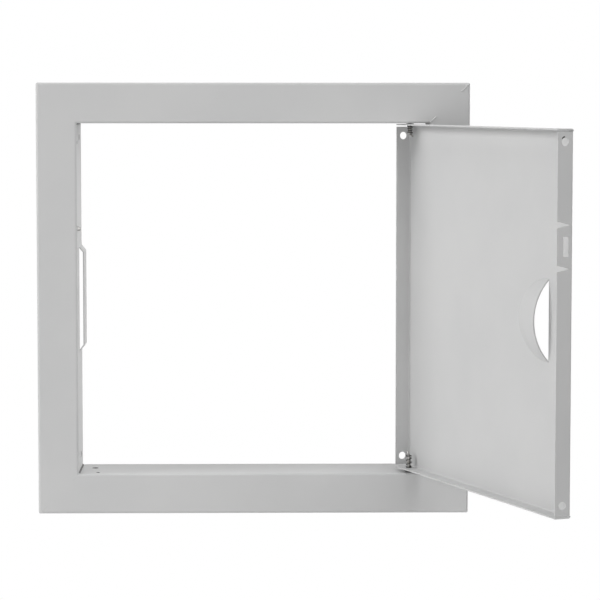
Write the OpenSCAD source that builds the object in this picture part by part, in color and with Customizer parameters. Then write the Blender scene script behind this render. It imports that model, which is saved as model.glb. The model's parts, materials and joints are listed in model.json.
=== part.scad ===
// Ceiling access panel: a welded picture frame of four folded sheet-steel profiles and a folded
// tray door that swings on two sprung pins. Millimetres, +Z up, front towards -Y.
// The origin is the middle of the opening in the plane of the ceiling, where the flange's lip rests.

/* [Frame] */
// Outside width and height of the front flange
frame_outer = 300; // [284:1:420]
// Clear width and height between the inner faces of the neck
opening = 244; // [200:1:264]
// Depth from the front face to the back edge of the neck
frame_depth = 47; // [40:1:90]
// Thickness of the sheet steel
sheet = 0.8; // [0.6:0.1:1.2]
// Inside radius of every fold
fold_r = 0.8; // [0.4:0.1:1.2]
// Distance from the front face to the ceiling, set by the turned-back lip
lip_depth = 3; // [2.6:0.1:6]
// Radius of the flange's four corners, seen from the front
corner_r = 1.5; // [0.8:0.1:4]
// How far each neck stops short of the inside corner
neck_slit = 1; // [0.4:0.1:2]

/* [Fixing holes] */
// Diameter of the screw holes in the neck
fix_hole_d = 4.5; // [3:0.1:6]
// Distance of a screw hole from the inside corner of the neck
fix_hole_inset = 10; // [6:0.5:40]
// Distance of the screw holes from the front face
fix_hole_back = 28.5; // [18:0.5:36]

/* [Strap] */
// Length of the bridge lanced from the latch side's neck
strap_length = 74; // [40:1:76]
// Height of the bridge's middle above the middle of the frame
strap_centre = -1.3; // [-20:0.1:4]
// How far the bridge is pressed into the opening
strap_rise = 3.3; // [1:0.1:5]
// Length of each slanted end of the bridge
strap_ramp = 4; // [2:0.5:10]
// Distance of the bridge's front edge from the front face
strap_back = 22; // [18:0.5:34]
// Width of the slit along the bridge's front edge
strap_slit = 0.6; // [0.3:0.1:1.5]

/* [Corner welds] */
// Width of the weld bead on the back of each mitre
weld_w = 2.6; // [1.5:0.1:4]
// Height of the weld bead
weld_h = 0.7; // [0.4:0.1:0.9]
// Distance of each bead's outer end from the flange's outer fold
weld_inset = 2.5; // [1:0.1:6]
// Length of each bead along its mitre
weld_length = 16; // [6:0.5:17]
// How far the bead along each neck corner stands out of the corner
neck_weld_h = 0.3; // [0.1:0.1:0.8]

/* [Latch stud] */
// Diameter of the stud that the door's slot snaps over
stud_d = 3; // [2:0.1:3.2]
// How far the stud reaches past the outer face of the door's flange
stud_engage = 1.1; // [0.4:0.1:2]
// Diameter of the stud's riveted shank
stud_shank_d = 2; // [1:0.1:2.4]
// Radial clearance of the stud's shank in its hole
stud_clearance = 0.05; // [0.02:0.01:0.15]
// Diameter of the stud's head outside the neck
stud_head_d = 5; // [3.5:0.1:6]
// Thickness of the stud's head outside the neck
stud_head_h = 0.8; // [0.5:0.1:1.5]

/* [Door] */
// Angle that the door stands open
door_open = 111; // [0:1:132]
// Gap between the door and the neck, before the door is lifted
door_gap = 1.4; // [1.2:0.1:3]
// How far the door stands above the middle of the opening, on its lower washer
door_lift = 0.8; // [0:0.1:0.9]
// Depth of the door's flanges, measured from its front face
door_depth = 11; // [9:0.1:11.4]
// Width of the seam between the end of a side flange and the fold that it meets
door_seam = 0.3; // [0.1:0.1:1]
// Diameter of the round holes near the ends of the side flanges
door_hole_d = 5.2; // [3:0.1:6]
// Distance of the round holes from the door's front face
door_hole_back = 6; // [5:0.1:7]
// Distance of the hinge flange's round holes from the ends
hinge_hole_inset = 8.1; // [6:0.1:30]
// Distance of the free flange's round holes from the ends
free_hole_inset = 8.1; // [6:0.1:30]

/* [Latch tab] */
// Height of the latch tab's middle above the middle of the door
tab_centre = 48.1; // [30:0.1:70]
// Distance between the tips of the two notches that free the tab
notch_spacing = 27; // [20:0.5:34]
// Width of each notch at the flange's edge
notch_mouth = 4.1; // [2:0.1:6]
// Distance of each notch's tip from the door's front face
notch_tip_back = 1.95; // [1.7:0.05:5]
// Length of the slot that the stud enters
slot_length = 12.5; // [6:0.5:16]
// Clearance between the stud and each long side of the slot
slot_clearance = 0.25; // [0.1:0.05:0.6]
// Distance of the slot's middle from the door's front face
slot_back = 4.9; // [4.2:0.1:6]

/* [Finger scoop] */
// Width of the half-moon mouth
scoop_width = 50.6; // [36:0.2:70]
// Height of the mouth above the inside of the door
scoop_height = 10.1; // [6:0.1:14]
// Length of the drawn hood behind the mouth
scoop_length = 41; // [28:0.5:60]
// Distance of the mouth's straight edge from the free edge
scoop_edge = 29.9; // [20:0.1:60]

/* [Hinge] */
// Diameter of the hinge pins
pin_d = 2.5; // [2:0.1:3]
// Radial clearance of a pin in its holes
pin_clearance = 0.09; // [0.05:0.01:0.1]
// Distance of the pins from the door's hinge side
pin_inset = 11.8; // [10.6:0.1:16]
// Distance of the pins from the door's front face
pin_back = 6; // [5.4:0.1:7]
// Diameter of a pin's head outside the neck
pin_head_d = 6; // [4.5:0.1:8]
// Height of a pin's head
pin_head_h = 1.4; // [0.8:0.1:2]
// Play under a pin's head
pin_play = 0.3; // [0.2:0.05:0.6]
// Diameter of the bent tail that keeps the spring on the pin
tail_d = 1.2; // [0.8:0.1:1.4]
// Angle that the tail is bent to
tail_bend = 40; // [25:1:60]
// Length of the tail's straight end
tail_length = 3.4; // [1.5:0.1:5]
// Diameter of the washer between the door and the neck
washer_d = 5; // [4:0.1:7]
// Play between a washer and the neck
washer_play = 0.2; // [0.1:0.05:0.4]

/* [Springs] */
// Diameter of the spring wire
spring_wire = 0.6; // [0.4:0.05:0.8]
// Radial room between a pin and its spring
spring_room = 0.2; // [0.1:0.05:0.4]
// Number of turns of each spring
spring_turns = 4.5; // [3.5:0.5:6]
// Number of closed turns at each end of a spring
spring_closed = 1; // [0:0.5:1.5]
// Gap between two closed turns
spring_touch = 0.05; // [0.02:0.01:0.2]
// Length of the upper spring, which carries the door
upper_spring_length = 5.7; // [5:0.1:9]
// Length of the lower spring, which the door relaxes
lower_spring_length = 9.2; // [6:0.1:11]

/* [Hidden] */
$fn = 64;
// Outside radius of every fold
fold_o = fold_r + sheet;
// Front face, back edge and radial places of the frame
front_y = -lip_depth;
back_y = front_y + frame_depth;
neck_in = opening / 2;
neck_out = neck_in + sheet;
rim = frame_outer / 2;
// Where the slits between the necks begin, behind the fold
slit_y = front_y + fold_o + sheet;
// The door's half size, which also places its four outer faces
door_half = neck_in - door_gap;
door_back_y = front_y + door_depth;
// Hinge axis
pin_x = door_half - pin_inset;
pin_y = front_y + pin_back;
pin_hole_d = pin_d + 2 * pin_clearance;
// Latch stud and its slot
stud_y = front_y + slot_back;
stud_z = tab_centre + door_lift;
slot_width = stud_d + 2 * slot_clearance;
// Spring
spring_r = pin_d / 2 + spring_room + spring_wire / 2;
ring_sides = 8;
steps_per_turn = 16;
// Finger scoop: the mouth is an arc of a circle, the hood's back an arc along the door
scoop_mouth_r = (pow(scoop_width / 2, 2) + pow(scoop_height, 2)) / (2 * scoop_height);
scoop_hood_rise = scoop_height + sheet;
scoop_hood_r = (pow(scoop_length, 2) + pow(scoop_hood_rise, 2)) / (2 * scoop_hood_rise);
scoop_axis_y = front_y + sheet + scoop_height - scoop_mouth_r;
scoop_x = -door_half + scoop_edge;
// Room that a cut reaches past the sheet it goes through
cut = 1;
// Colours of the powder coat, the pins, the springs and the washers
coat = [0.80, 0.80, 0.79];
coat_shade = [0.74, 0.74, 0.73];
pin_steel = [0.62, 0.62, 0.60];
spring_steel = [0.16, 0.16, 0.16];
black_plastic = [0.03, 0.03, 0.03];

// A fold's section: a quarter of a ring in the first quadrant
module fold_section() {
    intersection() {
        difference() {
            circle(r = fold_o);
            circle(r = fold_r);
        }
        square(fold_o);
    }
}

// A block between two corners
module block(from, to) {
    translate(from) cube(to - from);
}

// Stands a flat outline, drawn in X and Z, between two depths
module stand(from_y, to_y) {
    translate([0, to_y, 0]) rotate([90, 0, 0]) linear_extrude(height = to_y - from_y) children();
}

// Runs a section, drawn as distance from the middle and depth, along X above the middle
module run_along_top(length) {
    rotate([0, -90, 0]) linear_extrude(height = length, center = true) children();
}

// The quarter of a square above its diagonals
module mitre_quarter(reach) {
    polygon([[0, 0], [reach, reach], [-reach, reach]]);
}

// A square with round corners
module round_square(half, r) {
    square([2 * half, 2 * (half - r)], center = true);
    square([2 * (half - r), 2 * half], center = true);
    for (x = [-1, 1], z = [-1, 1]) translate([x, z] * (half - r)) circle(r = r);
}

// Section of a frame profile: neck, fold, flange, fold and lip
module frame_section() {
    translate([neck_in, front_y + fold_o]) square([sheet, frame_depth - fold_o]);
    translate([neck_in + fold_o, front_y + fold_o]) rotate(180) fold_section();
    translate([neck_in + fold_o, front_y]) square([rim - neck_in - 2 * fold_o, sheet]);
    translate([rim - fold_o, front_y + fold_o]) rotate(-90) fold_section();
    translate([rim - sheet, front_y + fold_o]) square([sheet, lip_depth - fold_o]);
}

// One mitred frame profile, standing at the top, with its punched holes
module frame_profile() {
    fix_x = neck_in - fix_hole_inset;
    difference() {
        intersection() {
            run_along_top(frame_outer) frame_section();
            stand(front_y - cut, back_y + cut) intersection() {
                mitre_quarter(frame_outer);
                round_square(rim, corner_r);
            }
        }
        for (side = [-1, 1]) {
            translate([side * fix_x, front_y + fix_hole_back, neck_in - cut])
                cylinder(d = fix_hole_d, h = sheet + 2 * cut);
            translate([side * pin_x, pin_y, neck_in - cut])
                cylinder(d = pin_hole_d, h = sheet + 2 * cut);
            translate([side * (neck_in + sheet), (slit_y + back_y + cut) / 2, neck_in])
                cube([2 * (neck_slit + sheet), back_y + cut - slit_y, 2 * (sheet + cut)], center = true);
        }
    }
}

module frame_top() {
    color(coat) frame_profile();
}

module frame_bottom() {
    color(coat) rotate([0, 180, 0]) frame_profile();
}

module frame_hinge_side() {
    color(coat) rotate([0, 90, 0]) frame_profile();
}

// Plan of the bridge: X is the height on the frame, Y the way into the opening
module strap_plan() {
    half = strap_length / 2;
    slope = atan(strap_rise / strap_ramp);
    shift = sheet * tan(slope / 2);
    polygon([
        [-half, 0], [-half + strap_ramp, strap_rise],
        [half - strap_ramp, strap_rise], [half, 0],
        [half + cut, 0], [half + cut, -sheet], [half - shift, -sheet],
        [half - strap_ramp - shift, strap_rise - sheet],
        [-half + strap_ramp + shift, strap_rise - sheet],
        [-half + shift, -sheet], [-half - cut, -sheet], [-half - cut, 0]
    ]);
}

module frame_latch_side() {
    strap_y = front_y + strap_back;
    color(coat) {
        difference() {
            rotate([0, -90, 0]) frame_profile();
            block([-neck_out - cut, strap_y - strap_slit, strap_centre - strap_length / 2],
                [-neck_in + cut, back_y + cut, strap_centre + strap_length / 2]);
            translate([-neck_out - cut, stud_y, stud_z]) rotate([0, 90, 0])
                cylinder(d = stud_shank_d + 2 * stud_clearance, h = sheet + 2 * cut);
        }
        translate([-neck_in, strap_y, strap_centre]) rotate([-90, -90, 0])
            linear_extrude(height = back_y - strap_y) strap_plan();
    }
}

// One weld bead along the back of the upper right mitre
module weld_bead() {
    bead_r = (pow(weld_w / 2, 2) + pow(weld_h, 2)) / (2 * weld_h);
    outer_end = (rim - fold_o - weld_inset) * sqrt(2);
    seat_y = front_y + sheet;
    rotate([0, -45, 0]) intersection() {
        translate([outer_end - weld_length, seat_y + weld_h - bead_r, 0]) rotate([0, 90, 0])
            cylinder(r = bead_r, h = weld_length);
        block([0, seat_y, -weld_w], [2 * frame_outer, seat_y + weld_w, weld_w]);
    }
}

// One bead that closes the upper right neck corner from outside, to half the sheet's depth
module neck_weld() {
    end = neck_in - neck_slit;
    root = neck_in + sheet / 2;
    crown = neck_out + neck_weld_h;
    stand(slit_y, back_y - sheet) polygon([
        [end, root], [root, root], [root, end], [neck_out, end], [crown, crown], [end, neck_out]
    ]);
}

module corner_welds() {
    color(coat_shade) for (turn = [0:90:270]) rotate([0, turn, 0]) {
        weld_bead();
        neck_weld();
    }
}

// Riveted stud with a domed nose, pointing into the opening
module latch_stud() {
    reach = door_gap + stud_engage;
    color(pin_steel) translate([-neck_in, stud_y, stud_z]) rotate([0, 90, 0]) {
        translate([0, 0, -sheet]) cylinder(d = stud_shank_d, h = sheet);
        translate([0, 0, -sheet - stud_head_h]) cylinder(d = stud_head_d, h = stud_head_h);
        cylinder(d = stud_d, h = reach - stud_d / 2);
        translate([0, 0, reach - stud_d / 2]) sphere(d = stud_d);
    }
}

// Turns and lifts what is drawn on the closed door to the door's place
module on_door(lift = door_lift) {
    translate([pin_x, pin_y, lift]) rotate([0, 0, door_open]) translate([-pin_x, -pin_y, 0])
        children();
}

// Section of the door's edge: a strip of the panel, the fold and the flange
module door_edge_section() {
    strip = 2 * fold_o;
    translate([door_half - fold_o - strip, front_y]) square([strip, sheet]);
    translate([door_half - fold_o, front_y + fold_o]) rotate(-90) fold_section();
    translate([door_half - sheet, front_y + fold_o]) square([sheet, door_depth - fold_o]);
}

// The folded tray before it is pierced: the upper and lower flanges run past the side flanges' ends
module door_tray() {
    flat_half = door_half - fold_o;
    block([-flat_half, front_y, -flat_half], [flat_half, front_y + sheet, flat_half]);
    for (turn = [0, 180]) rotate([0, turn, 0]) difference() {
        run_along_top(2 * door_half) door_edge_section();
        for (side = [-1, 1]) translate([side * (flat_half + fold_o), front_y, flat_half / 2])
            cube([2 * fold_o, 2 * door_depth, flat_half], center = true);
    }
    for (turn = [90, 270]) rotate([0, turn, 0])
        run_along_top(2 * (flat_half - door_seam)) door_edge_section();
}

// Solid under the hood's outer or inner face: an arc turned about an axis along the door
module scoop_body(thickness) {
    r = scoop_hood_r - sheet + thickness;
    centre = scoop_mouth_r - scoop_hood_r + sheet;
    translate([scoop_x, scoop_axis_y, 0]) rotate([0, 90, 0]) rotate_extrude()
        intersection() {
            translate([centre, 0]) circle(r = r);
            square(2 * scoop_length + scoop_mouth_r);
        }
}

// Cuts a hole through a side flange; side is 1 at the hinge and -1 at the free edge
module side_hole(side, y, z, d) {
    translate([side * door_half - 2 * cut, y, z]) rotate([0, 90, 0])
        cylinder(d = d, h = 4 * cut);
}

// Notch across the free flange, from its edge to the tip near the fold
module notch(z) {
    tip_y = front_y + notch_tip_back;
    lip_y = door_back_y + cut;
    half = notch_mouth / 2 * (lip_y - tip_y) / (door_back_y - tip_y);
    translate([-door_half - cut, 0, z]) rotate([90, 0, 90]) linear_extrude(height = 2 * cut + sheet)
        polygon([[tip_y, 0], [lip_y, half], [lip_y, -half]]);
}

module door_panel() {
    hood_top = front_y + sheet + scoop_height + 2 * sheet;
    hole_y = front_y + door_hole_back;
    color(coat) on_door() difference() {
        union() {
            door_tray();
            intersection() {
                scoop_body(sheet);
                block([scoop_x, front_y, -scoop_width], [door_half, hood_top, scoop_width]);
            }
        }
        scoop_body(0);
        for (end = [-1, 1]) {
            side_hole(1, hole_y, end * (door_half - hinge_hole_inset), door_hole_d);
            side_hole(-1, hole_y, end * (door_half - free_hole_inset), door_hole_d);
            translate([pin_x, pin_y, end * door_half - 2 * cut])
                cylinder(d = pin_hole_d, h = 4 * cut);
            notch(tab_centre + end * notch_spacing / 2);
        }
        block([-door_half - cut, stud_y - slot_width / 2, tab_centre - slot_length / 2],
            [-door_half + sheet + cut, stud_y + slot_width / 2, tab_centre + slot_length / 2]);
    }
}

// Hinge pin above the middle: head over the neck, shank, and a tail bent under the spring
module hinge_pin(spring_length, turn, lift) {
    seat_z = door_half - sheet - spring_length;
    head_z = neck_out + pin_play - lift;
    bend_r = tail_d;
    on_door(lift) translate([pin_x, pin_y, 0]) rotate([0, 0, turn]) {
        translate([0, 0, seat_z]) cylinder(d = pin_d, h = head_z - seat_z);
        translate([0, 0, head_z]) intersection() {
            cylinder(d = pin_head_d, h = pin_head_h);
            translate([0, 0, pin_head_h - pin_head_d]) sphere(r = pin_head_d);
        }
        translate([bend_r, 0, seat_z]) {
            rotate([-90, 0, 0]) rotate([0, 0, 180 - tail_bend]) rotate_extrude(angle = tail_bend)
                translate([bend_r, 0]) circle(d = tail_d);
            rotate([0, tail_bend, 0]) translate([-bend_r, 0, -tail_length]) {
                cylinder(d = tail_d, h = tail_length);
                sphere(d = tail_d);
            }
        }
    }
}

module hinge_pin_upper() {
    color(pin_steel) hinge_pin(upper_spring_length, 90, door_lift);
}

module hinge_pin_lower() {
    color(pin_steel) mirror([0, 0, 1]) hinge_pin(lower_spring_length, 180, -door_lift);
}

// Washer above the middle, resting on the door's flange around the pin
module hinge_washer(lift) {
    height = door_gap - lift - washer_play;
    on_door(lift) translate([pin_x, pin_y, door_half]) difference() {
        cylinder(d = washer_d, h = height);
        translate([0, 0, -cut]) cylinder(d = pin_hole_d, h = height + 2 * cut);
    }
}

module hinge_washer_upper() {
    color(black_plastic) hinge_washer(door_lift);
}

module hinge_washer_lower() {
    color(black_plastic) mirror([0, 0, 1]) hinge_washer(-door_lift);
}

// Height of the wire's middle after some turns: closed at both ends and open between
function coil_rise(turns, length) =
    let (
        shut = spring_wire + spring_touch,
        open_turns = spring_turns - 2 * spring_closed,
        open = (length - spring_wire - 2 * spring_closed * shut) / open_turns,
        first = min(turns, spring_closed),
        last = max(0, turns - spring_turns + spring_closed)
    )
    shut * (first + last) + open * (turns - first - last);

// Corner of the coil's wire: turns along the helix and place on the wire's ring
function coil_point(turns, corner, length) =
    let (
        lean = 360 * corner / ring_sides,
        r = spring_r + spring_wire / 2 * cos(lean),
        rise = coil_rise(turns, length)
    )
    [r * cos(360 * turns), r * sin(360 * turns), rise + spring_wire / 2 * sin(lean)];

// Coil spring from the origin upwards, with square-cut ends
module coil(length) {
    steps = spring_turns * steps_per_turn;
    points = [for (s = [0:steps], c = [0:ring_sides - 1]) coil_point(s / steps_per_turn, c, length)];
    walls = [for (s = [0:steps - 1], c = [0:ring_sides - 1])
        let (n = (c + 1) % ring_sides, here = s * ring_sides, next = here + ring_sides)
        [here + c, next + c, next + n, here + n]];
    first = [for (c = [0:ring_sides - 1]) c];
    last = [for (c = [ring_sides - 1:-1:0]) steps * ring_sides + c];
    translate([0, 0, spring_wire / 2]) polyhedron(points, concat(walls, [first, last]));
}

module spring_upper() {
    color(spring_steel) on_door()
        translate([pin_x, pin_y, door_half - sheet - upper_spring_length]) coil(upper_spring_length);
}

module spring_lower() {
    color(spring_steel) on_door()
        translate([pin_x, pin_y, -door_half + sheet]) coil(lower_spring_length);
}

frame_top();
frame_bottom();
frame_latch_side();
frame_hinge_side();
corner_welds();
latch_stud();
door_panel();
hinge_pin_upper();
hinge_pin_lower();
hinge_washer_upper();
hinge_washer_lower();
spring_upper();
spring_lower();
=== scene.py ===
"""Looks of the ceiling access panel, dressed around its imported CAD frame.

A welded frame and a folded tray door, both of sheet steel in a semi-gloss light grey powder coat,
hang together on two plated pins with dark coil springs and black nylon washers. Metres, +Z up, front
towards -Y.
"""

import json
import logging
import math
from dataclasses import dataclass, field
from enum import Enum
from typing import Optional, Sequence, Union

import bpy
from mathutils import Matrix, Vector

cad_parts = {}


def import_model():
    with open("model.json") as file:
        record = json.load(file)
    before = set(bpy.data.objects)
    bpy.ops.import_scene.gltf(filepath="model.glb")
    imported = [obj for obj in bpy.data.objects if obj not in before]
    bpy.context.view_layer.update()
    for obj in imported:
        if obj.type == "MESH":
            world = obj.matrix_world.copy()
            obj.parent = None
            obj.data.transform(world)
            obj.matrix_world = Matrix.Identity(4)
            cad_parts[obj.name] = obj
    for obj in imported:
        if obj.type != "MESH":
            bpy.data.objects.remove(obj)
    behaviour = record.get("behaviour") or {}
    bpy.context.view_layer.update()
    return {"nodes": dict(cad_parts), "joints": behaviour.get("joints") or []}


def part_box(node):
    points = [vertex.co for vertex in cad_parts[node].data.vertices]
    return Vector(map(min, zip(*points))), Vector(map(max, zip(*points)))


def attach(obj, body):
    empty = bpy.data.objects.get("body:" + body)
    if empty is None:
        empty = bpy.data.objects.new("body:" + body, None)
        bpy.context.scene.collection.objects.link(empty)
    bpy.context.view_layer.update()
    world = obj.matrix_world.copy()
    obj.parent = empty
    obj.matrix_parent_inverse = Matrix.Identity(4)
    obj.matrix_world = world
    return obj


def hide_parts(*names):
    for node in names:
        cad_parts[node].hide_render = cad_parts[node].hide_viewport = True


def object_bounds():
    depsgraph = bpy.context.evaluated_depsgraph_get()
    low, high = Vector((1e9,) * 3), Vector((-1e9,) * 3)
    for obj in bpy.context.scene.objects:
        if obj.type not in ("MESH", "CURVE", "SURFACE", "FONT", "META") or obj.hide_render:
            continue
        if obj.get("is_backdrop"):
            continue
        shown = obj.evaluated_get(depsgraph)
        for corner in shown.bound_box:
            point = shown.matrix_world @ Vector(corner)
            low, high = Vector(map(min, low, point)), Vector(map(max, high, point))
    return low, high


LOG = logging.getLogger("access_panel")
MM = 0.001

Colour = tuple[float, float, float]
Point = tuple[float, float, float]

# Holes punched in every neck: distance along it from its middle, depth, and the radius within which
# the hole's wall is painted near-black as shade
SCREW_HOLE: Point = (112 * MM, 25.5 * MM, 2.29 * MM)
SPARE_PIN_HOLE: Point = (108.8 * MM, 3 * MM, 1.38 * MM)
# Outer side of the slits in the neck's corners, measured from the middle across the corner; the slits
# are painted near-black as shade up to it
NECK_SLIT = 172.5 * MM
# Focal points of a near-black oval mark at the rim of the upper hole near the door's free edge
DARK_RIM_MARK: tuple[Point, Point] = (
    (189.06 * MM, -211.91 * MM, 115.25 * MM),
    (190.62 * MM, -211.31 * MM, 116.68 * MM),
)
SMOOTH_ANGLE = math.radians(50)
NOISE_ROUGHNESS = 0.55
BAR_ROUNDNESS = 3
# Points of a bar that lie closer together than this share of its radius become one
MERGE_SHARE = 0.1


class Body(str, Enum):
    """The bodies that pieces ride on."""

    FRAME = "frame"
    DOOR = "door"


class Corner(Enum):
    """The frame's four corners, as the turn about Y that brings the upper right one there."""

    TOP_RIGHT = 0
    BOTTOM_RIGHT = 90
    BOTTOM_LEFT = 180
    TOP_LEFT = 270


class Sock:
    """An output socket whose arithmetic adds Math nodes to its graph."""

    def __init__(self, graph: "ShaderGraph", socket: bpy.types.NodeSocket) -> None:
        """Wraps one socket of a graph."""
        self.graph = graph
        self.socket = socket

    def math(self, operation: str, *values: "Value") -> "Sock":
        """Adds one Math node.

        Args:
            operation: The node's operation.
            values: Its inputs in order, sockets or numbers.

        Returns:
            The node's output.
        """
        return self.graph.add("ShaderNodeMath", {"operation": operation}, dict(enumerate(values)))

    def __add__(self, other: "Value") -> "Sock":
        """Sum of two values."""
        return self.math("ADD", self, other)

    def __radd__(self, other: "Value") -> "Sock":
        """Sum with a number on the left."""
        return self.math("ADD", other, self)

    def __sub__(self, other: "Value") -> "Sock":
        """Difference of two values."""
        return self.math("SUBTRACT", self, other)

    def __rsub__(self, other: "Value") -> "Sock":
        """A number less this value."""
        return self.math("SUBTRACT", other, self)

    def __mul__(self, other: "Value") -> "Sock":
        """Product of two values."""
        return self.math("MULTIPLY", self, other)

    def __rmul__(self, other: "Value") -> "Sock":
        """Product with a number on the left."""
        return self.math("MULTIPLY", other, self)

    def __abs__(self) -> "Sock":
        """Size of the value without its sign."""
        return self.math("ABSOLUTE", self)

    def at_most(self, other: "Value") -> "Sock":
        """The smaller of two values."""
        return self.math("MINIMUM", self, other)

    def at_least(self, other: "Value") -> "Sock":
        """The larger of two values."""
        return self.math("MAXIMUM", self, other)

    def ramp(self, low: float, high: float) -> "Sock":
        """Eases from 0 to 1.

        Args:
            low: The value that becomes 0.
            high: The value that becomes 1, which may be the smaller of the two.

        Returns:
            The eased value.
        """
        settings = {"interpolation_type": "SMOOTHSTEP"}
        inputs = {"Value": self, "From Min": low, "From Max": high}
        return self.graph.add("ShaderNodeMapRange", settings, inputs)


Value = Union[Sock, float, int]


class ShaderGraph:
    """The node tree of one material or world."""

    def __init__(self, tree: bpy.types.NodeTree) -> None:
        """Empties the tree and takes it over."""
        self.tree = tree
        self.tree.nodes.clear()

    def add(
        self,
        kind: str,
        settings: Optional[dict] = None,
        inputs: Optional[dict] = None,
        output: Union[int, str] = 0,
    ) -> Sock:
        """Adds one node.

        Args:
            kind: The node's type.
            settings: Its own settings, set first.
            inputs: Values or links by the name or number of the input.
            output: The output that is returned.

        Returns:
            That output.
        """
        node = self.tree.nodes.new(kind)
        for name, value in (settings or {}).items():
            setattr(node, name, value)
        for key, value in (inputs or {}).items():
            if isinstance(value, Sock):
                self.tree.links.new(value.socket, node.inputs[key])
            else:
                node.inputs[key].default_value = value
        return Sock(self, node.outputs[output] if len(node.outputs) else None)

    def place(self) -> Sock:
        """Object coordinates, which are the panel's own frame in metres."""
        return self.add("ShaderNodeTexCoord", output="Object")

    def axes(self, place: Sock) -> tuple[Sock, Sock, Sock]:
        """The X, Y and Z of a place."""
        node = self.add("ShaderNodeSeparateXYZ", inputs={0: place}).socket.node
        return tuple(Sock(self, output) for output in node.outputs)

    def distance(self, place: Sock, point: Point) -> Sock:
        """Distance of a place from a point."""
        settings = {"operation": "DISTANCE"}
        return self.add("ShaderNodeVectorMath", settings, {0: place, 1: point}, "Value")

    def noise(self, place: Sock, grain: float, detail: float = 2.0) -> Sock:
        """Cloudy noise about 0.5.

        Args:
            place: Where it is read.
            grain: Size of its patches in metres.
            detail: How many finer layers it has.

        Returns:
            The noise's value.
        """
        inputs = {
            "Vector": place,
            "Scale": 1 / grain,
            "Detail": detail,
            "Roughness": NOISE_ROUGHNESS,
        }
        return self.add("ShaderNodeTexNoise", inputs=inputs)

    def blend(self, share: Value, first: Union[Sock, Colour], second: Union[Sock, Colour]) -> Sock:
        """Mixes two colours.

        Args:
            share: 0 for the first colour, 1 for the second.
            first: A colour or a socket.
            second: A colour or a socket.

        Returns:
            The mixed colour.
        """
        ends = [end if isinstance(end, Sock) else (*end, 1.0) for end in (first, second)]
        return self.add(
            "ShaderNodeMix", {"data_type": "RGBA"}, {0: share, 6: ends[0], 7: ends[1]}, output=2
        )

    def bump(self, height: Sock, depth: float, strength: float) -> Sock:
        """Normal of a bumpy skin.

        Args:
            height: The bump's height from 0 to 1.
            depth: What a height of 1 is in metres.
            strength: Share of the bump that shows.

        Returns:
            The normal.
        """
        inputs = {"Strength": strength, "Distance": depth, "Height": height}
        return self.add("ShaderNodeBump", inputs=inputs)

    def surface(self, colour: Sock, roughness: Sock, normal: Sock, **others: float) -> None:
        """Ends the tree in one Principled surface.

        Args:
            colour: Base colour.
            roughness: Roughness.
            normal: Normal of the bumpy skin.
            others: Values of other sockets by their names, the same all over.
        """
        inputs = {"Base Color": colour, "Roughness": roughness, "Normal": normal, **others}
        self.finish(self.add("ShaderNodeBsdfPrincipled", inputs=inputs))

    def finish(self, shader: Sock, kind: str = "ShaderNodeOutputMaterial") -> None:
        """Links the shader to the tree's output."""
        self.add(kind, inputs={"Surface": shader})


def new_material(name: str) -> tuple[bpy.types.Material, ShaderGraph]:
    """Makes an empty node material.

    Args:
        name: The material's name.

    Returns:
        The material and its graph.
    """
    material = bpy.data.materials.new(name)
    material.use_nodes = True
    return material, ShaderGraph(material.node_tree)


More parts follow.
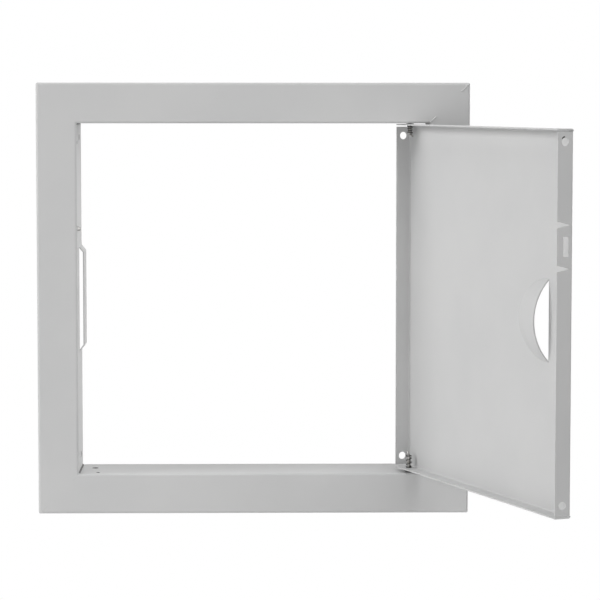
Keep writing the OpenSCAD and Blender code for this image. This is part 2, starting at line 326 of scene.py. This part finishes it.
@dataclass(frozen=True)
class PowderCoat:
    """Semi-gloss powder coat: a slightly uneven film with orange peel and a few dull specks."""

    name: str
    light: Colour = (0.590, 0.590, 0.588)
    dark: Colour = (0.560, 0.562, 0.562)
    roughness: float = 0.50
    drift_roughness: float = 0.10
    grain_roughness: float = 0.06
    ior: float = 1.5
    drift: float = 90 * MM
    peel: float = 2.6 * MM
    grain: float = 0.5 * MM
    # Share of the orange peel in the skin's height; the fine grain has the rest
    peel_share: float = 0.8
    peel_depth: float = 0.05 * MM
    peel_strength: float = 0.10
    speck_cell: float = 9 * MM
    speck_share: float = 0.045
    # Part of a speck's radius that is evenly dull, and the share of cells that have none
    speck_core: float = 0.4
    speck_rarity: float = 0.9
    speck_colour: Colour = (0.42, 0.42, 0.41)
    speck_strength: float = 0.5
    # Near-black colour of the painted shade in the holes and slits, and of the dark oval mark at a
    # hole's rim
    steel: Colour = (0.055, 0.054, 0.052)
    # Punched holes, whose walls get painted shade: distance along the neck from its middle, depth and
    # radius
    holes: tuple[Point, ...] = ()
    # Slits in the neck's corners, painted near-black as shade: distance of their outer side from the
    # middle, across the corner
    slit: float = 0.0
    slit_start: float = -1 * MM
    # Near-black oval mark at a hole's rim: its two focal points, and its length
    dark_rim_mark: tuple[Point, ...] = ()
    dark_rim_mark_length: float = 2.5 * MM

    def make(self) -> bpy.types.Material:
        """Makes the coat's material.

        Returns:
            The material.
        """
        material, graph = new_material(self.name)
        place = graph.place()
        cloud = graph.noise(place, self.drift, 3)
        peel = graph.noise(place, self.peel)
        grain = graph.noise(place, self.grain, 1)
        speck = self.specks(graph, place)
        film = graph.blend(cloud.ramp(0.3, 0.7), self.dark, self.light)
        colour = graph.blend(speck * self.speck_strength, film, self.speck_colour)
        # Painted shade: near-black on the hole walls and in the neck slits
        if self.holes or self.slit:
            colour = graph.blend(self.worn_and_painted_shade(graph, place), colour, self.steel)
        # A near-black oval mark at a hole's rim
        if self.dark_rim_mark:
            colour = graph.blend(self.dark_rim_oval(graph, place), colour, self.steel)
        rough = self.roughness + (cloud - 0.5) * self.drift_roughness
        rough = rough + (grain - 0.5) * self.grain_roughness
        height = peel * self.peel_share + grain * (1 - self.peel_share) + speck
        normal = graph.bump(height, self.peel_depth, self.peel_strength)
        graph.surface(colour, rough, normal, IOR=self.ior)
        return material

    def worn_and_painted_shade(self, graph: ShaderGraph, place: Sock) -> Sock:
        """Painted shade: near-black on the walls of the holes and in the slits, where shade falls.

        Args:
            graph: The coat's graph.
            place: Where the holes and slits are looked for.

        Returns:
            1 where the shade is painted, 0 elsewhere.
        """
        across, depth, height = graph.axes(place)
        along = abs(across).at_most(abs(height))
        corner = abs(across) + abs(height)
        inside = corner.math("LESS_THAN", corner, self.slit * math.sqrt(2))
        share = inside * depth.math("GREATER_THAN", depth, self.slit_start)
        for hole_along, hole_depth, radius in self.holes:
            aside = along - hole_along
            behind = depth - hole_depth
            share = share + aside.math("LESS_THAN", aside * aside + behind * behind, radius**2)
        return share

    def dark_rim_oval(self, graph: ShaderGraph, place: Sock) -> Sock:
        """A narrow near-black oval at the rim of a hole.

        Args:
            graph: The coat's graph.
            place: Where the mark is looked for.

        Returns:
            1 on the mark, 0 elsewhere.
        """
        first, second = (graph.distance(place, point) for point in self.dark_rim_mark)
        return first.math("LESS_THAN", first + second, self.dark_rim_mark_length)

    def specks(self, graph: ShaderGraph, place: Sock) -> Sock:
        """Dust nibs under the film: small round spots in a few cells of a random pattern.

        Args:
            graph: The coat's graph.
            place: Where the pattern is read.

        Returns:
            1 in the middle of a speck, 0 elsewhere.
        """
        inputs = {"Vector": place, "Scale": 1 / self.speck_cell}
        cell = graph.add("ShaderNodeTexVoronoi", inputs=inputs).socket.node
        distance = Sock(graph, cell.outputs["Distance"])
        spot = distance.ramp(self.speck_share, self.speck_core * self.speck_share)
        pick = graph.add("ShaderNodeSeparateColor", inputs={0: Sock(graph, cell.outputs["Color"])})
        return spot * pick.math("GREATER_THAN", pick, self.speck_rarity)


@dataclass(frozen=True)
class PlatedSteel:
    """Dull zinc plating on turned steel, with fine lines round the axis."""

    name: str
    colour: Colour = (0.34, 0.34, 0.33)
    stain: Colour = (0.17, 0.16, 0.15)
    roughness: float = 0.55
    line_roughness: float = 0.2
    patch: float = 3 * MM
    line: float = 0.25 * MM
    line_squeeze: Point = (0.15, 0.15, 1.0)
    line_depth: float = 0.02 * MM
    line_strength: float = 0.25

    def make(self) -> bpy.types.Material:
        """Makes the plating's material.

        Returns:
            The material.
        """
        material, graph = new_material(self.name)
        place = graph.place()
        squeezed = graph.add("ShaderNodeMapping", inputs={"Vector": place, "Scale": self.line_squeeze})
        lines = graph.noise(squeezed, self.line, 3)
        cloud = graph.noise(place, self.patch, 3)
        colour = graph.blend(cloud.ramp(0.35, 0.75), self.colour, self.stain)
        rough = self.roughness + (lines - 0.5) * self.line_roughness
        normal = graph.bump(lines, self.line_depth, self.line_strength)
        graph.surface(colour, rough, normal, Metallic=1.0)
        return material


@dataclass(frozen=True)
class SpringWire:
    """Oiled dark spring steel, a little browner where the oil has gone."""

    name: str
    colour: Colour = (0.022, 0.022, 0.023)
    worn_and_painted_shade: Colour = (0.060, 0.056, 0.052)
    roughness: float = 0.48
    scratch_roughness: float = 0.2
    metallic: float = 0.3
    patch: float = 1.2 * MM
    scratch: float = 0.2 * MM
    scratch_depth: float = 0.02 * MM
    scratch_strength: float = 0.3

    def make(self) -> bpy.types.Material:
        """Makes the wire's material.

        Returns:
            The material.
        """
        material, graph = new_material(self.name)
        place = graph.place()
        cloud = graph.noise(place, self.patch, 3)
        scratch = graph.noise(place, self.scratch)
        colour = graph.blend(cloud.ramp(0.45, 0.8), self.colour, self.worn_and_painted_shade)
        rough = self.roughness + (scratch - 0.5) * self.scratch_roughness
        normal = graph.bump(scratch, self.scratch_depth, self.scratch_strength)
        graph.surface(colour, rough, normal, Metallic=self.metallic)
        return material


@dataclass(frozen=True)
class BlackNylon:
    """Black moulded nylon, a little greyer where it has been handled."""

    name: str
    colour: Colour = (0.010, 0.010, 0.011)
    worn: Colour = (0.026, 0.026, 0.027)
    roughness: float = 0.55
    grain_roughness: float = 0.2
    patch: float = 1.5 * MM
    grain: float = 0.15 * MM
    grain_depth: float = 0.02 * MM
    grain_strength: float = 0.3

    def make(self) -> bpy.types.Material:
        """Makes the nylon's material.

        Returns:
            The material.
        """
        material, graph = new_material(self.name)
        place = graph.place()
        cloud = graph.noise(place, self.patch, 3)
        grain = graph.noise(place, self.grain)
        colour = graph.blend(cloud.ramp(0.4, 0.8), self.colour, self.worn)
        rough = self.roughness + (grain - 0.5) * self.grain_roughness
        normal = graph.bump(grain, self.grain_depth, self.grain_strength)
        graph.surface(colour, rough, normal)
        return material


def deselect() -> None:
    """Deselects every object, because an operator acts on all that is selected."""
    bpy.ops.object.select_all(action="DESELECT")


def keep_only(piece: bpy.types.Object) -> None:
    """Makes a piece the only selected one, and the active one.

    Args:
        piece: The piece.
    """
    deselect()
    piece.select_set(True)
    bpy.context.view_layer.objects.active = piece


def settle(piece: bpy.types.Object) -> None:
    """Puts a piece's place, turn and size into its mesh, so that its object sits at the origin."""
    keep_only(piece)
    bpy.ops.object.transform_apply(location=True, rotation=True, scale=True)


def apply_modifiers(piece: bpy.types.Object) -> None:
    """Applies a piece's modifiers in order.

    Args:
        piece: The piece.
    """
    keep_only(piece)
    for modifier in list(piece.modifiers):
        bpy.ops.object.modifier_apply(modifier=modifier.name)


def edit(piece: bpy.types.Object) -> None:
    """Opens a mesh in edit mode with all of it selected.

    Args:
        piece: The mesh.
    """
    keep_only(piece)
    bpy.ops.object.mode_set(mode="EDIT")
    bpy.ops.mesh.select_all(action="SELECT")


def smooth(piece: bpy.types.Object) -> None:
    """Shades a mesh smooth except at its sharp edges."""
    keep_only(piece)
    bpy.ops.object.shade_smooth_by_angle(angle=SMOOTH_ANGLE)


def tube(path: Sequence[Point], radius: float) -> bpy.types.Object:
    """Draws a round bar along a path.

    Args:
        path: Points of its middle line.
        radius: Radius of the bar.

    Returns:
        The bar as a closed mesh.
    """
    curve = bpy.data.curves.new("bar", "CURVE")
    curve.dimensions = "3D"
    curve.bevel_depth = radius
    curve.bevel_resolution = BAR_ROUNDNESS
    curve.use_fill_caps = True
    spline = curve.splines.new("POLY")
    spline.points.add(len(path) - 1)
    for point, place in zip(spline.points, path):
        point.co = (*place, 1.0)
    bar = bpy.data.objects.new("bar", curve)
    bpy.context.scene.collection.objects.link(bar)
    keep_only(bar)
    bpy.ops.object.convert(target="MESH")
    edit(bar)
    bpy.ops.mesh.remove_doubles(threshold=MERGE_SHARE * radius)
    bpy.ops.mesh.normals_make_consistent(inside=False)
    bpy.ops.object.mode_set(mode="OBJECT")
    return bar


def join(pieces: Sequence[bpy.types.Object], name: str) -> bpy.types.Object:
    """Joins meshes into one piece.

    Args:
        pieces: The meshes, which become one.
        name: The new piece's name.

    Returns:
        The joined piece.
    """
    keep_only(pieces[0])
    for piece in pieces[1:]:
        piece.select_set(True)
    bpy.ops.object.join()
    joined = bpy.context.view_layer.objects.active
    joined.name = name
    joined.data.name = name
    return joined


def copy_turned(piece: bpy.types.Object, degrees: float) -> bpy.types.Object:
    """Copies a mesh with a turn about the panel's middle axis.

    Args:
        piece: The mesh, settled at the origin.
        degrees: Turn about Y.

    Returns:
        The copy, with a mesh of its own.
    """
    copy = piece.copy()
    copy.data = piece.data.copy()
    copy.data.transform(Matrix.Rotation(math.radians(degrees), 4, "Y"))
    bpy.context.scene.collection.objects.link(copy)
    return copy


def paint(piece: bpy.types.Object, material: bpy.types.Material) -> None:
    """Gives a piece one material all over."""
    piece.data.materials.clear()
    piece.data.materials.append(material)


@dataclass
class WeldedFrame:
    """The four frame profiles with their corner welds, mitre seams, paint nibs and latch stud."""

    fold: float = 1.6 * MM
    sheet: float = 0.8 * MM
    weld_width: float = 2.6 * MM
    weld_height: float = 0.7 * MM
    weld_length: float = 16 * MM
    # Where the neck beads' flat insides lie before the neck's corner, and how high the beads are
    neck_weld_inset: float = 0.35 * MM
    neck_weld_height: float = 1.9 * MM
    ripple_pitch: float = 0.9 * MM
    ripple_length: float = 1.3 * MM
    ripple_segments: int = 20
    ripple_rings: int = 12
    weld_voxel: float = 0.17 * MM
    # How far the ripples' middles lie below the bead's flat side
    weld_sink: float = 0.04 * MM
    seam_radius: float = 0.5 * MM
    seam_step: float = 0.3 * MM
    inner_seam: float = 4.5 * MM
    outer_seam: float = 6 * MM
    neck_seam: float = 1.5 * MM
    seam_rough: float = 0.16 * MM
    seam_grain: float = 1.2 * MM
    # How far each corner's seam stands out of the flange
    seam_proud: dict[Corner, float] = field(
        default_factory=lambda: {
            Corner.TOP_RIGHT: 0.36 * MM,
            Corner.BOTTOM_RIGHT: 0.08 * MM,
            Corner.BOTTOM_LEFT: 0.10 * MM,
            Corner.TOP_LEFT: 0.08 * MM,
        }
    )
    # Places of the dust nibs on the flange, as X and Z, and each one's width
    nibs: tuple[Point, ...] = (
        (-24.7 * MM, 139.6 * MM, 1.1 * MM),
        (-57.8 * MM, -141.9 * MM, 0.9 * MM),
    )
    # Thickness and height of a nib as shares of its width
    nib_flatness: float = 0.22
    nib_height: float = 0.8
    nib_segments: int = 16
    nib_rings: int = 10
    profiles: tuple[str, ...] = ("frame_top", "frame_bottom", "frame_latch_side", "frame_hinge_side")

    def __post_init__(self) -> None:
        """Takes the frame's main places from the top profile."""
        low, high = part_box("frame_top")
        self.front = low.y
        self.neck = low.z
        self.rim = high.z

    def dress(self, nodes: dict, coat: bpy.types.Material, plating: bpy.types.Material) -> None:
        """Coats the profiles and plates the stud.

        Args:
            nodes: The CAD nodes by name.
            coat: Material of the profiles.
            plating: Material of the latch stud.
        """
        for name in self.profiles:
            paint(nodes[name], coat)
            LOG.info("coated %s", name)
        paint(nodes["latch_stud"], plating)
        LOG.info("plated latch_stud")

    def build_welds(self, coat: bpy.types.Material) -> bpy.types.Object:
        """Builds the rippled weld beads on the backs of the mitres and along the neck's corners.

        Args:
            coat: Material of the beads.

        Returns:
            The eight beads as one piece, which replaces the plain ones.
        """
        low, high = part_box("corner_welds")
        diagonal = Vector((1, 0, 1)).normalized()
        back = Vector((0, 1, 0))
        mitre_end = high.x * math.sqrt(2) - self.weld_width / 2
        mitre = self.ripple_row(self.weld_length, self.weld_height)
        seat = diagonal * (mitre_end - self.weld_length / 2) + back * low.y
        self.lay(mitre, seat, diagonal, back)
        slit_start = self.front + self.fold + self.sheet
        corner = self.neck * math.sqrt(2) - self.neck_weld_inset
        neck = self.ripple_row(high.y - slit_start, self.neck_weld_height)
        self.lay(neck, diagonal * corner + back * (high.y + slit_start) / 2, back, diagonal)
        welds = self.at_corners(join([mitre, neck], "corner_bead"), "corner_weld_beads")
        paint(welds, coat)
        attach(welds, Body.FRAME.value)
        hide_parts("corner_welds")
        LOG.info("welded %s", welds.name)
        return welds

    def lay(self, bead: bpy.types.Object, seat: Vector, along: Vector, outward: Vector) -> None:
        """Lays a bead, drawn along X on the plane Z = 0, in its place.

        Args:
            bead: The bead.
            seat: Where the middle of its flat side goes.
            along: Direction of its length.
            outward: Direction of its height.
        """
        turn = Matrix((along, outward.cross(along), outward)).transposed().to_4x4()
        bead.data.transform(Matrix.Translation(seat) @ turn)

    def ripple_row(self, length: float, height: float) -> bpy.types.Object:
        """Draws one bead along X: a row of overlapping scales, skinned over and cut flat below.

        Args:
            length: Length of the bead.
            height: Height of the bead.

        Returns:
            The bead, seated on the plane Z = 0.
        """
        reach = length / 2 - self.ripple_length
        deselect()
        bpy.ops.mesh.primitive_uv_sphere_add(
            segments=self.ripple_segments, ring_count=self.ripple_rings, radius=1
        )
        bead = bpy.context.active_object
        bead.scale = (self.ripple_length, self.weld_width / 2, height)
        bead.location = (-reach, 0, -self.weld_sink)
        settle(bead)
        row = bead.modifiers.new("ripples", "ARRAY")
        row.count = round(2 * reach / self.ripple_pitch) + 1
        row.use_relative_offset = False
        row.use_constant_offset = True
        row.constant_offset_displace = (2 * reach / (row.count - 1), 0, 0)
        skin = bead.modifiers.new("skin", "REMESH")
        skin.mode = "VOXEL"
        skin.voxel_size = self.weld_voxel
        apply_modifiers(bead)
        edit(bead)
        bpy.ops.mesh.bisect(plane_co=(0, 0, 0), plane_no=(0, 0, 1), clear_inner=True)
        bpy.ops.mesh.select_all(action="SELECT")
        bpy.ops.mesh.fill_holes(sides=0)
        bpy.ops.mesh.normals_make_consistent(inside=False)
        bpy.ops.object.mode_set(mode="OBJECT")
        smooth(bead)
        return bead

    def at_corners(self, piece: bpy.types.Object, name: str) -> bpy.types.Object:
        """Repeats a piece of the upper right corner at all four.

        Args:
            piece: The piece, settled.
            name: Name of the four together.

        Returns:
            The four pieces as one.
        """
        pieces = [piece]
        pieces += [copy_turned(piece, corner.value) for corner in Corner if corner.value]
        return join(pieces, name)

    def skin_depth(self, radius: float) -> float:
        """Depth of the profile's front skin at a distance from the middle.

        Args:
            radius: Distance from the middle, across the profile.

        Returns:
            The skin's Y: level on the flange and round at its two folds.
        """
        past = max(self.neck + self.fold - radius, radius - self.rim + self.fold, 0.0)
        past = min(past, self.fold)
        return self.front + self.fold - math.sqrt(self.fold**2 - past**2)

    def seam_run(self, start: float, end: float, sink: float) -> list[Point]:
        """Points along the upper right mitre, just under the skin.

        Args:
            start: Distance from the middle where the run starts.
            end: Distance from the middle where it ends.
            sink: Depth of the run under the skin.

        Returns:
            The points.
        """
        steps = max(2, round(abs(end - start) / self.seam_step))
        radii = [start + (end - start) * step / steps for step in range(steps + 1)]
        return [(radius, self.skin_depth(radius) + sink, radius) for radius in radii]

    def build_seams(self, coat: bpy.types.Material) -> bpy.types.Object:
        """Builds the dressed ends of the mitre welds, which show on the front.

        Args:
            coat: Material of the seams.

        Returns:
            The seams of all corners as one piece.
        """
        ragged = bpy.data.textures.new("ragged_weld", "CLOUDS")
        ragged.noise_scale = self.seam_grain
        seams = []
        for corner, proud in self.seam_proud.items():
            sink = self.seam_radius - proud
            inner = self.seam_run(self.neck, self.neck + self.inner_seam, sink)
            foot = (self.neck, self.front + self.fold + self.neck_seam, self.neck)
            outer = self.seam_run(self.rim - self.outer_seam, self.rim - self.fold / 2, sink)
            for path in ([foot, *inner], outer):
                seam = tube(path, self.seam_radius)
                wobble = seam.modifiers.new("ragged", "DISPLACE")
                wobble.texture = ragged
                wobble.texture_coords = "LOCAL"
                wobble.strength = self.seam_rough
                apply_modifiers(seam)
                seam.data.transform(Matrix.Rotation(math.radians(corner.value), 4, "Y"))
                seams.append(seam)
        piece = join(seams, "mitre_seams")
        smooth(piece)
        paint(piece, coat)
        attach(piece, Body.FRAME.value)
        LOG.info("dressed %s", piece.name)
        return piece

    def build_nibs(self, coat: bpy.types.Material) -> bpy.types.Object:
        """Builds the few dust nibs that stand in the flange's coat.

        Args:
            coat: Material of the flange.

        Returns:
            The nibs as one piece.
        """
        domes = []
        for across, height, width in self.nibs:
            deselect()
            bpy.ops.mesh.primitive_uv_sphere_add(
                segments=self.nib_segments, ring_count=self.nib_rings, radius=width / 2
            )
            dome = bpy.context.active_object
            dome.scale = (1.0, self.nib_flatness, self.nib_height)
            # Each nib lies turned its own way, so that no two look alike
            dome.rotation_euler = (0, across / MM, 0)
            dome.location = (across, self.front, height)
            settle(dome)
            domes.append(dome)
        piece = join(domes, "coat_nibs")
        smooth(piece)
        paint(piece, coat)
        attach(piece, Body.FRAME.value)
        LOG.info("set %s", piece.name)
        return piece


@dataclass
class TrayDoor:
    """The folded door with its hinge pins, washers and springs."""

    hinge: Point
    wire: float = 0.6 * MM
    coil_radius: float = 1.75 * MM
    turns: float = 4.5
    closed_turns: float = 1.0
    steps_per_turn: int = 40
    wire_sides: int = 14
    pins: tuple[str, ...] = ("hinge_pin_upper", "hinge_pin_lower")
    washers: tuple[str, ...] = ("hinge_washer_upper", "hinge_washer_lower")
    springs: tuple[str, ...] = ("spring_upper", "spring_lower")

    def dress(self, nodes: dict, finishes: dict[str, bpy.types.Material]) -> None:
        """Gives the door, its pins and its washers their finishes.

        Args:
            nodes: The CAD nodes by name.
            finishes: Materials by the node that wears them.
        """
        for name in ("door_panel", *self.pins, *self.washers):
            paint(nodes[name], finishes[name])
            LOG.info("dressed %s", name)

    def rise(self, turn: float, travel: float) -> float:
        """Height of the wire's middle above the foot, with a closed coil at each end.

        Args:
            turn: Turns from the spring's foot.
            travel: Height of the whole winding, from wire middle to wire middle.

        Returns:
            The height.
        """
        closed = self.closed_turns * self.wire
        open_turns = self.turns - 2 * self.closed_turns
        from_top = self.turns - turn
        if turn < self.closed_turns:
            return self.wire * turn
        if from_top < self.closed_turns:
            return travel - self.wire * from_top
        return closed + (travel - 2 * closed) * (turn - self.closed_turns) / open_turns

    def build_spring(self, node: str, finish: bpy.types.Material) -> bpy.types.Object:
        """Winds one smooth spring in the place of its plain coil.

        Args:
            node: The CAD node that it replaces.
            finish: Material of the wire.

        Returns:
            The spring.
        """
        low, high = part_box(node)
        travel = high.z - low.z - self.wire
        steps = round(self.turns * self.steps_per_turn)
        deselect()
        bpy.ops.mesh.primitive_circle_add(
            vertices=self.wire_sides,
            radius=self.wire / 2,
            rotation=(math.pi / 2, 0, 0),
            location=(self.coil_radius, 0, 0),
        )
        spring = bpy.context.active_object
        settle(spring)
        winding = spring.modifiers.new("winding", "SCREW")
        winding.angle = 2 * math.pi * self.turns
        winding.steps = steps
        winding.render_steps = steps
        apply_modifiers(spring)
        for vertex in spring.data.vertices:
            turn = (vertex.index // self.wire_sides) / self.steps_per_turn
            vertex.co.z += self.rise(turn, travel)
        edit(spring)
        bpy.ops.mesh.fill_holes(sides=self.wire_sides)
        bpy.ops.mesh.normals_make_consistent(inside=False)
        bpy.ops.object.mode_set(mode="OBJECT")
        foot = (self.hinge[0], self.hinge[1], low.z + self.wire / 2)
        spring.data.transform(Matrix.Translation(foot))
        smooth(spring)
        spring.name = f"{node}_coil"
        spring.data.name = spring.name
        paint(spring, finish)
        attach(spring, Body.DOOR.value)
        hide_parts(node)
        LOG.info("wound %s", spring.name)
        return spring


@dataclass(frozen=True)
class Lamp:
    """One soft box, placed by its direction from the panel."""

    name: str
    azimuth: float
    elevation: float
    distance: float
    size: float
    level: float

    def hang(self) -> bpy.types.Object:
        """Hangs the lamp.

        Returns:
            The lamp, aimed at the panel. At level 1 it lights a surface that faces it to its own
            colour.
        """
        turn = math.radians(self.azimuth)
        lift = math.radians(self.elevation)
        way = Vector(
            (math.sin(turn) * math.cos(lift), -math.cos(turn) * math.cos(lift), math.sin(lift))
        )
        deselect()
        bpy.ops.object.light_add(
            type="AREA",
            location=way * self.distance,
            rotation=way.to_track_quat("Z", "Y").to_euler(),
        )
        lamp = bpy.context.active_object
        lamp.name = self.name
        lamp.data.size = self.size
        lamp.data.energy = self.level * (math.pi * self.distance) ** 2
        return lamp


@dataclass
class Studio:
    """Camera, soft boxes, white world and pale floor."""

    eye: Point = (0.0009, -1.7874, 0.1445)
    pitch: float = 4.643
    yaw: float = 1.0101
    roll: float = -0.025
    focal: float = 154.64
    sensor: float = 36.0
    sky: float = 0.04
    floor_drop: float = 0.40
    floor_radius: float = 1.2
    floor_colour: Colour = (0.86, 0.86, 0.86)
    # Where the floor starts and ends fading, as shares of its radius, and how white it is before that
    fade_start: float = 0.45
    fade_end: float = 0.95
    floor_white: float = 0.6
    floor_glow: float = 1.2
    floor_sides: int = 64
    lamps: tuple[Lamp, ...] = (
        Lamp("left_box", -83, 25, 1.8, 0.7, 0.61),
        Lamp("top_box", -20, 72, 1.8, 1.0, 0.25),
        Lamp("right_box", 27, 38, 2.0, 0.4, 0.20),
        Lamp("far_right_box", 48, 42, 2.0, 0.5, 0.14),
        Lamp("front_box", -8, -12, 1.2, 0.9, 0.16),
        Lamp("front_left_box", -35, -5, 2.0, 1.2, 0.20),
        Lamp("back_box", 130, 15, 2.0, 1.0, 0.36),
        Lamp("rear_box", 180, 55, 1.8, 0.9, 0.10),
    )

    def build(self) -> None:
        """Sets up everything that isn't part of the panel."""
        bpy.context.scene.view_settings.view_transform = "Standard"
        self.place_camera()
        self.light_world()
        for lamp in self.lamps:
            lamp.hang()
        self.lay_floor()

    def place_camera(self) -> None:
        """Places the camera at the photograph's viewpoint."""
        deselect()
        turn = (math.radians(90 - self.pitch), math.radians(self.roll), math.radians(-self.yaw))
        bpy.ops.object.camera_add(location=self.eye, rotation=turn)
        camera = bpy.context.active_object
        camera.data.lens = self.focal
        camera.data.sensor_width = self.sensor
        bpy.context.scene.camera = camera

    def seen(self, graph: ShaderGraph) -> Sock:
        """Finds the rays that show a background: camera, glossy and transmission rays.

        Args:
            graph: The graph that asks.

        Returns:
            1 on those rays, 0 on all others.
        """
        path = graph.add("ShaderNodeLightPath").socket.node
        rays = ("Is Camera Ray", "Is Glossy Ray", "Is Transmission Ray")
        camera, glossy, through = (Sock(graph, path.outputs[ray]) for ray in rays)
        return camera.at_least(glossy).at_least(through)

    def light_world(self) -> None:
        """Makes the world white where it is seen, and a soft even light elsewhere."""
        world = bpy.data.worlds.new("white_room")
        world.use_nodes = True
        bpy.context.scene.world = world
        graph = ShaderGraph(world.node_tree)
        shown = self.seen(graph)
        strength = self.sky + shown * (1 - self.sky)
        shader = graph.add(
            "ShaderNodeBackground", inputs={"Color": (1, 1, 1, 1), "Strength": strength}
        )
        graph.finish(shader, "ShaderNodeOutputWorld")

    def lay_floor(self) -> None:
        """Lays a pale round floor below the panel, which keeps the shadow and fades to white."""
        deselect()
        bpy.ops.mesh.primitive_circle_add(
            vertices=self.floor_sides, radius=self.floor_radius, fill_type="TRIFAN"
        )
        floor = bpy.context.active_object
        floor.name = "floor"
        floor.location = (0, 0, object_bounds()[0].z - self.floor_drop)
        material, graph = new_material("pale_floor")
        radius = graph.distance(graph.place(), (0, 0, 0))
        rim = radius.ramp(self.fade_start * self.floor_radius, self.fade_end * self.floor_radius)
        white = self.seen(graph) * (self.floor_white + (1 - self.floor_white) * rim)
        matt = graph.add("ShaderNodeBsdfDiffuse", inputs={"Color": (*self.floor_colour, 1)})
        glow = graph.add("ShaderNodeEmission", inputs={"Strength": self.floor_glow})
        graph.finish(graph.add("ShaderNodeMixShader", inputs={0: white, 1: matt, 2: glow}))
        paint(floor, material)
        floor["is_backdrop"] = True


def main() -> None:
    """Builds and dresses the panel in its studio."""
    logging.basicConfig(level=logging.INFO, format="%(name)s: %(message)s")
    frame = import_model()
    # The frame coat paints shade into its holes, and the weld coat into the neck slits
    coat = PowderCoat("frame_powder_coat", holes=(SCREW_HOLE, SPARE_PIN_HOLE)).make()
    door_coat = PowderCoat("door_powder_coat", dark_rim_mark=DARK_RIM_MARK).make()
    weld_coat = PowderCoat("weld_powder_coat", roughness=0.55, slit=NECK_SLIT).make()
    plating = PlatedSteel("zinc_plating").make()
    stud_plating = PlatedSteel(
        "stud_plating", colour=(0.48, 0.48, 0.47), stain=(0.32, 0.31, 0.30), roughness=0.48
    ).make()
    wire = SpringWire("spring_wire").make()
    nylon = BlackNylon("black_nylon").make()
    welded = WeldedFrame()
    welded.dress(frame["nodes"], coat, stud_plating)
    welded.build_welds(weld_coat)
    welded.build_seams(weld_coat)
    welded.build_nibs(coat)
    door = TrayDoor(hinge=tuple(frame["joints"][0]["pos_m"]))
    finishes = {"door_panel": door_coat}
    finishes.update(dict.fromkeys(door.pins, plating))
    finishes.update(dict.fromkeys(door.washers, nylon))
    door.dress(frame["nodes"], finishes)
    for node in door.springs:
        door.build_spring(node, wire)
    Studio().build()


if __name__ == "__main__":
    main()
